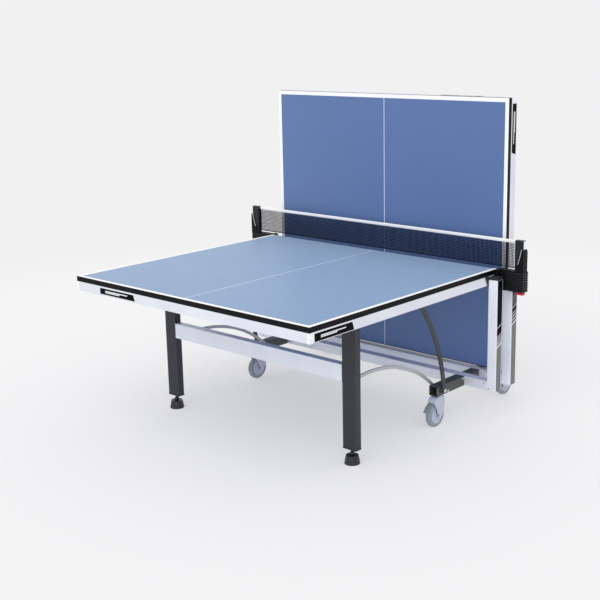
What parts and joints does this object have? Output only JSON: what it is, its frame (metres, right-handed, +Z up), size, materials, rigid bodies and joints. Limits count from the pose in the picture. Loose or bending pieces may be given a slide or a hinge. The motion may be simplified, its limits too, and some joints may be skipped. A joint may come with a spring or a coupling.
{
  "type": "folding table-tennis table",
  "caption": "Folding table-tennis table on casters, one half lowered for play and the other folded up, with net, posts, legs and levelling feet.",
  "frame": {"origin": "on the floor, under the centre of the net", "axes": "+X along the table from the lowered half to the folded half, +Z up, +Y to the left of someone who stands at the lowered end and looks at the net"},
  "size_m": [1.7624, 1.838, 1.5795],
  "materials": {
    "playing_board": "matt blue lacquer",
    "edge_black": "satin",
    "apron_silver": "satin silver",
    "rib_steel": "satin black",
    "bracket_steel": "satin black",
    "bar_silver": "satin silver",
    "cap_black": "moulded",
    "leg_anthracite": "fluted, satin",
    "foot_black": "moulded",
    "arm_black": "satin black",
    "link_grey": "satin grey",
    "carriage_steel": "satin black",
    "column_silver": "satin silver, black outer side",
    "caster_grey": "moulded light grey",
    "tyre_grey": "grey rubber on a light hub",
    "pedal_grey": "moulded grey",
    "bolt_steel": "zinc plated",
    "beam_black": "satin black",
    "housing_black": "ribbed",
    "post_black": "satin black",
    "button_red": "moulded",
    "net_cord": "knotted cord net",
    "tape_white": "woven tape"
  },
  "bodies": {
    "chassis": {"chassis_crossbar_near": "bar_silver", "chassis_crossbar_far": "bar_silver", "side_beam_right": "beam_black", "side_beam_left": "beam_black", "column_near_right": "column_silver", "column_near_left": "column_silver", "column_far_right": "column_silver", "column_far_left": "column_silver", "column_caps": "cap_black", "frame_bolts": "bolt_steel", "net_housing_right": "housing_black", "net_housing_left": "housing_black", "net_post_right": "post_black", "net_post_left": "post_black", "net_mesh": "net_cord", "net_tape": "tape_white"},
    "carriage_near": {"carriage_near": "carriage_steel"},
    "half_near": {"top_board_near": "playing_board", "edge_frame_near": "edge_black", "apron_near": "apron_silver", "frame_ribs_near": "rib_steel", "brackets_near": "bracket_steel"},
    "leg_frame_near": {"leg_near_right": "leg_anthracite", "leg_near_left": "leg_anthracite", "leg_crossbar_near": "bar_silver", "leg_end_caps_near": "cap_black"},
    "arms_near": {"arm_near_right": "arm_black", "arm_near_left": "arm_black"},
    "links_near": {"link_near_right": "link_grey", "link_near_left": "link_grey"},
    "foot_near_right": {"foot_near_right": "foot_black"},
    "foot_near_left": {"foot_near_left": "foot_black"},
    "caster_near_right": {"caster_fork_near_right": "caster_grey"},
    "wheel_near_right": {"caster_wheel_near_right": "tyre_grey"},
    "pedal_near_right": {"brake_pedal_near_right": "pedal_grey"},
    "caster_near_left": {"caster_fork_near_left": "caster_grey"},
    "wheel_near_left": {"caster_wheel_near_left": "tyre_grey"},
    "carriage_far": {"carriage_far": "carriage_steel"},
    "half_far": {"top_board_far": "playing_board", "edge_frame_far": "edge_black", "apron_far": "apron_silver", "frame_ribs_far": "rib_steel", "brackets_far": "bracket_steel"},
    "leg_frame_far": {"leg_far_right": "leg_anthracite", "leg_far_left": "leg_anthracite", "leg_crossbar_far": "bar_silver", "leg_end_caps_far": "cap_black"},
    "arms_far": {"arm_far_right": "arm_black", "arm_far_left": "arm_black"},
    "links_far": {"link_far_right": "link_grey", "link_far_left": "link_grey"},
    "foot_far_right": {"foot_far_right": "foot_black"},
    "foot_far_left": {"foot_far_left": "foot_black"},
    "caster_far_right": {"caster_fork_far_right": "caster_grey"},
    "wheel_far_right": {"caster_wheel_far_right": "tyre_grey"},
    "caster_far_left": {"caster_fork_far_left": "caster_grey"},
    "wheel_far_left": {"caster_wheel_far_left": "tyre_grey"},
    "pedal_far_left": {"brake_pedal_far_left": "pedal_grey"},
    "button_right": {"release_button_right": "button_red"},
    "button_left": {"release_button_left": "button_red"}
  },
  "joints": [
    {"name": "half_near_fold", "type": "hinge", "parent": "carriage_near", "child": "half_near", "pos_m": [-0.1, 0, 0.73], "axis": [0, 1, 0], "range_deg": [0, 90]},
    {"name": "carriage_near_slide", "type": "slide", "parent": "chassis", "child": "carriage_near", "axis": [0, 0, -1], "range_m": [0, 0.4205]},
    {"name": "legs_near_fold", "type": "hinge", "parent": "half_near", "child": "leg_frame_near", "pos_m": [-0.922, 0, 0.698], "axis": [0, -1, 0], "range_deg": [0, 84]},
    {"name": "arms_near_swing", "type": "hinge", "parent": "chassis", "child": "arms_near", "pos_m": [-0.28, 0, 0.183], "axis": [0, 1, 0], "range_deg": [0, 37.9]},
    {"name": "links_near_swing", "type": "hinge", "parent": "chassis", "child": "links_near", "pos_m": [-0.27384, 0, 0.19], "axis": [0, 1, 0], "range_deg": [0, 86.28]},
    {"name": "foot_near_right_level", "type": "slide", "parent": "leg_frame_near", "child": "foot_near_right", "axis": [0, 0, -1], "range_m": [0, 0.015]},
    {"name": "caster_near_right_swivel", "type": "hinge", "parent": "chassis", "child": "caster_near_right", "pos_m": [-0.283, -0.615, 0.0625], "axis": [0, 0, 1], "continuous": true},
    {"name": "wheel_near_right_roll", "type": "hinge", "parent": "caster_near_right", "child": "wheel_near_right", "pos_m": [-0.313, -0.615, 0.0625], "axis": [0, 1, 0], "continuous": true},
    {"name": "pedal_near_right_press", "type": "hinge", "parent": "caster_near_right", "child": "pedal_near_right", "pos_m": [-0.331, -0.615, 0.1325], "axis": [0, -1, 0], "range_deg": [0, 12]},
    {"name": "foot_near_left_level", "type": "slide", "parent": "leg_frame_near", "child": "foot_near_left", "axis": [0, 0, -1], "range_m": [0, 0.015]},
    {"name": "caster_near_left_swivel", "type": "hinge", "parent": "chassis", "child": "caster_near_left", "pos_m": [-0.283, 0.615, 0.0625], "axis": [0, 0, 1], "continuous": true},
    {"name": "wheel_near_left_roll", "type": "hinge", "parent": "caster_near_left", "child": "wheel_near_left", "pos_m": [-0.313, 0.615, 0.0625], "axis": [0, 1, 0], "continuous": true},
    {"name": "half_far_fold", "type": "hinge", "parent": "carriage_far", "child": "half_far", "pos_m": [0.1, 0, 0.3095], "axis": [0, 1, 0], "range_deg": [0, 90]},
    {"name": "carriage_far_slide", "type": "slide", "parent": "chassis", "child": "carriage_far", "axis": [0, 0, 1], "range_m": [0, 0.4205]},
    {"name": "legs_far_fold", "type": "hinge", "parent": "half_far", "child": "leg_frame_far", "pos_m": [0.132, 0, 1.1315], "axis": [0, -1, 0], "range_deg": [0, 84]},
    {"name": "arms_far_swing", "type": "hinge", "parent": "chassis", "child": "arms_far", "pos_m": [0.28, 0, 0.183], "axis": [0, 1, 0], "range_deg": [0, 37.9]},
    {"name": "links_far_swing", "type": "hinge", "parent": "chassis", "child": "links_far", "pos_m": [0.27384, 0, 0.19], "axis": [0, 1, 0], "range_deg": [0, 86.28]},
    {"name": "foot_far_right_level", "type": "slide", "parent": "leg_frame_far", "child": "foot_far_right", "axis": [0.1045, 0, -0.9945], "range_m": [0, 0.015]},
    {"name": "caster_far_right_swivel", "type": "hinge", "parent": "chassis", "child": "caster_far_right", "pos_m": [0.283, -0.615, 0.0625], "axis": [0, 0, 1], "continuous": true},
    {"name": "wheel_far_right_roll", "type": "hinge", "parent": "caster_far_right", "child": "wheel_far_right", "pos_m": [0.313, -0.615, 0.0625], "axis": [0, 1, 0], "continuous": true},
    {"name": "foot_far_left_level", "type": "slide", "parent": "leg_frame_far", "child": "foot_far_left", "axis": [0.1045, 0, -0.9945], "range_m": [0, 0.015]},
    {"name": "caster_far_left_swivel", "type": "hinge", "parent": "chassis", "child": "caster_far_left", "pos_m": [0.283, 0.615, 0.0625], "axis": [0, 0, 1], "continuous": true},
    {"name": "wheel_far_left_roll", "type": "hinge", "parent": "caster_far_left", "child": "wheel_far_left", "pos_m": [0.313, 0.615, 0.0625], "axis": [0, 1, 0], "continuous": true},
    {"name": "pedal_far_left_press", "type": "hinge", "parent": "caster_far_left", "child": "pedal_far_left", "pos_m": [0.331, 0.615, 0.1325], "axis": [0, 1, 0], "range_deg": [0, 12]},
    {"name": "button_right_press", "type": "slide", "parent": "chassis", "child": "button_right", "axis": [0, 0, 1], "range_m": [0, 0.005], "stiffness_N_per_m": 400, "springref_m": -0.004},
    {"name": "button_left_press", "type": "slide", "parent": "chassis", "child": "button_left", "axis": [0, 0, 1], "range_m": [0, 0.005], "stiffness_N_per_m": 400, "springref_m": -0.004}
  ],
  "couplings": [
    {"joint": "carriage_near_slide", "follows": "half_near_fold", "m_per_rad": 0.2677},
    {"joint": "legs_near_fold", "follows": "half_near_fold", "ratio": 0.93333},
    {"joint": "arms_near_swing", "follows": "half_near_fold", "ratio": 0.42109},
    {"joint": "links_near_swing", "follows": "half_near_fold", "ratio": 0.95869},
    {"joint": "carriage_far_slide", "follows": "half_far_fold", "m_per_rad": 0.2677},
    {"joint": "legs_far_fold", "follows": "half_far_fold", "ratio": 0.93333},
    {"joint": "arms_far_swing", "follows": "half_far_fold", "ratio": 0.42109},
    {"joint": "links_far_swing", "follows": "half_far_fold", "ratio": 0.95869}
  ]
}
